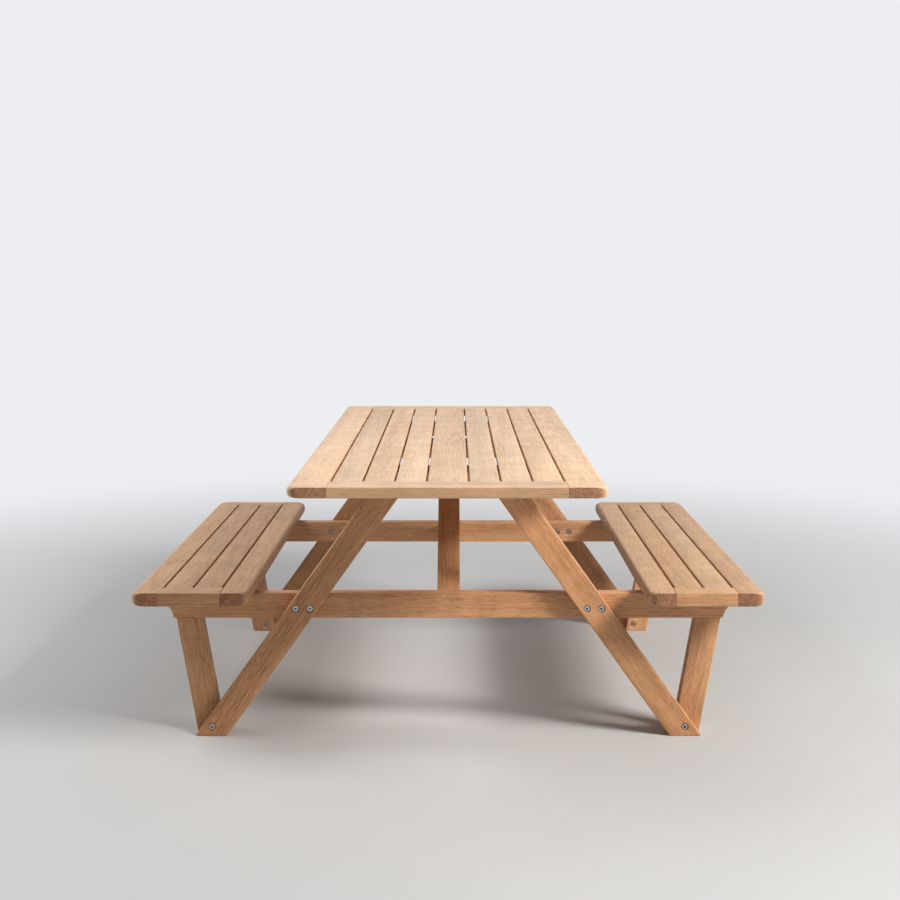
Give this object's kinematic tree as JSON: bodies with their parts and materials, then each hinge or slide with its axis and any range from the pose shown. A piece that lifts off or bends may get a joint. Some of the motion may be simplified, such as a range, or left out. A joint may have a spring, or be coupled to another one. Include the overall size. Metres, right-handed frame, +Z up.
{
  "type": "picnic table",
  "caption": "Slatted teak picnic table with two fixed slatted benches on bolted A-shaped end frames, with cross beams and diagonal braces.",
  "frame": {"origin": "on the floor, under the middle of the tabletop", "axes": "+X across the table from one bench to the other, +Y along the tabletop and the benches, +Z up"},
  "size_m": [1.682, 1.8, 0.75],
  "materials": {
    "teak_tabletop": "bare, sun-bleached pale on top, sanded",
    "teak_bench": "bare, greyed a little on top, sanded",
    "teak_frame": "bare, sanded, with small eased arrises",
    "stainless_steel": "satin"
  },
  "bodies": {
    "root": {"bench_left_batten": "teak_frame", "bench_left_end_rail_back": "teak_bench", "bench_left_end_rail_front": "teak_bench", "bench_left_side_rail_inner": "teak_bench", "bench_left_side_rail_outer": "teak_bench", "bench_left_slat_inner": "teak_bench", "bench_left_slat_outer": "teak_bench", "bench_right_batten": "teak_frame", "bench_right_end_rail_back": "teak_bench", "bench_right_end_rail_front": "teak_bench", "bench_right_side_rail_inner": "teak_bench", "bench_right_side_rail_outer": "teak_bench", "bench_right_slat_inner": "teak_bench", "bench_right_slat_outer": "teak_bench", "brace_back": "teak_frame", "brace_front": "teak_frame", "cross_beam_back": "teak_frame", "cross_beam_front": "teak_frame", "crossing_bolt_back_left_inner": "stainless_steel", "crossing_bolt_back_left_outer": "stainless_steel", "crossing_bolt_back_right_inner": "stainless_steel", "crossing_bolt_back_right_outer": "stainless_steel", "crossing_bolt_front_left_inner": "stainless_steel", "crossing_bolt_front_left_outer": "stainless_steel", "crossing_bolt_front_right_inner": "stainless_steel", "crossing_bolt_front_right_outer": "stainless_steel", "foot_bolt_back_left": "stainless_steel", "foot_bolt_back_right": "stainless_steel", "foot_bolt_front_left": "stainless_steel", "foot_bolt_front_right": "stainless_steel", "foot_strut_back_left": "teak_frame", "foot_strut_back_right": "teak_frame", "foot_strut_front_left": "teak_frame", "foot_strut_front_right": "teak_frame", "head_bolt_back_left": "stainless_steel", "head_bolt_back_right": "stainless_steel", "head_bolt_front_left": "stainless_steel", "head_bolt_front_right": "stainless_steel", "leg_back_left": "teak_frame", "leg_back_right": "teak_frame", "leg_front_left": "teak_frame", "leg_front_right": "teak_frame", "top_batten_back_inner": "teak_frame", "top_batten_back_outer": "teak_frame", "top_batten_front_inner": "teak_frame", "top_batten_front_outer": "teak_frame", "top_centre_board": "teak_frame", "top_cleat_back": "teak_frame", "top_cleat_front": "teak_frame", "top_end_rail_back": "teak_tabletop", "top_end_rail_front": "teak_tabletop", "top_side_rail_left": "teak_tabletop", "top_side_rail_right": "teak_tabletop", "top_slat_1": "teak_tabletop", "top_slat_2": "teak_tabletop", "top_slat_3": "teak_tabletop", "top_slat_4": "teak_tabletop", "top_slat_5": "teak_tabletop", "top_slat_6": "teak_tabletop", "top_slat_7": "teak_tabletop"}
  },
  "joints": []
}
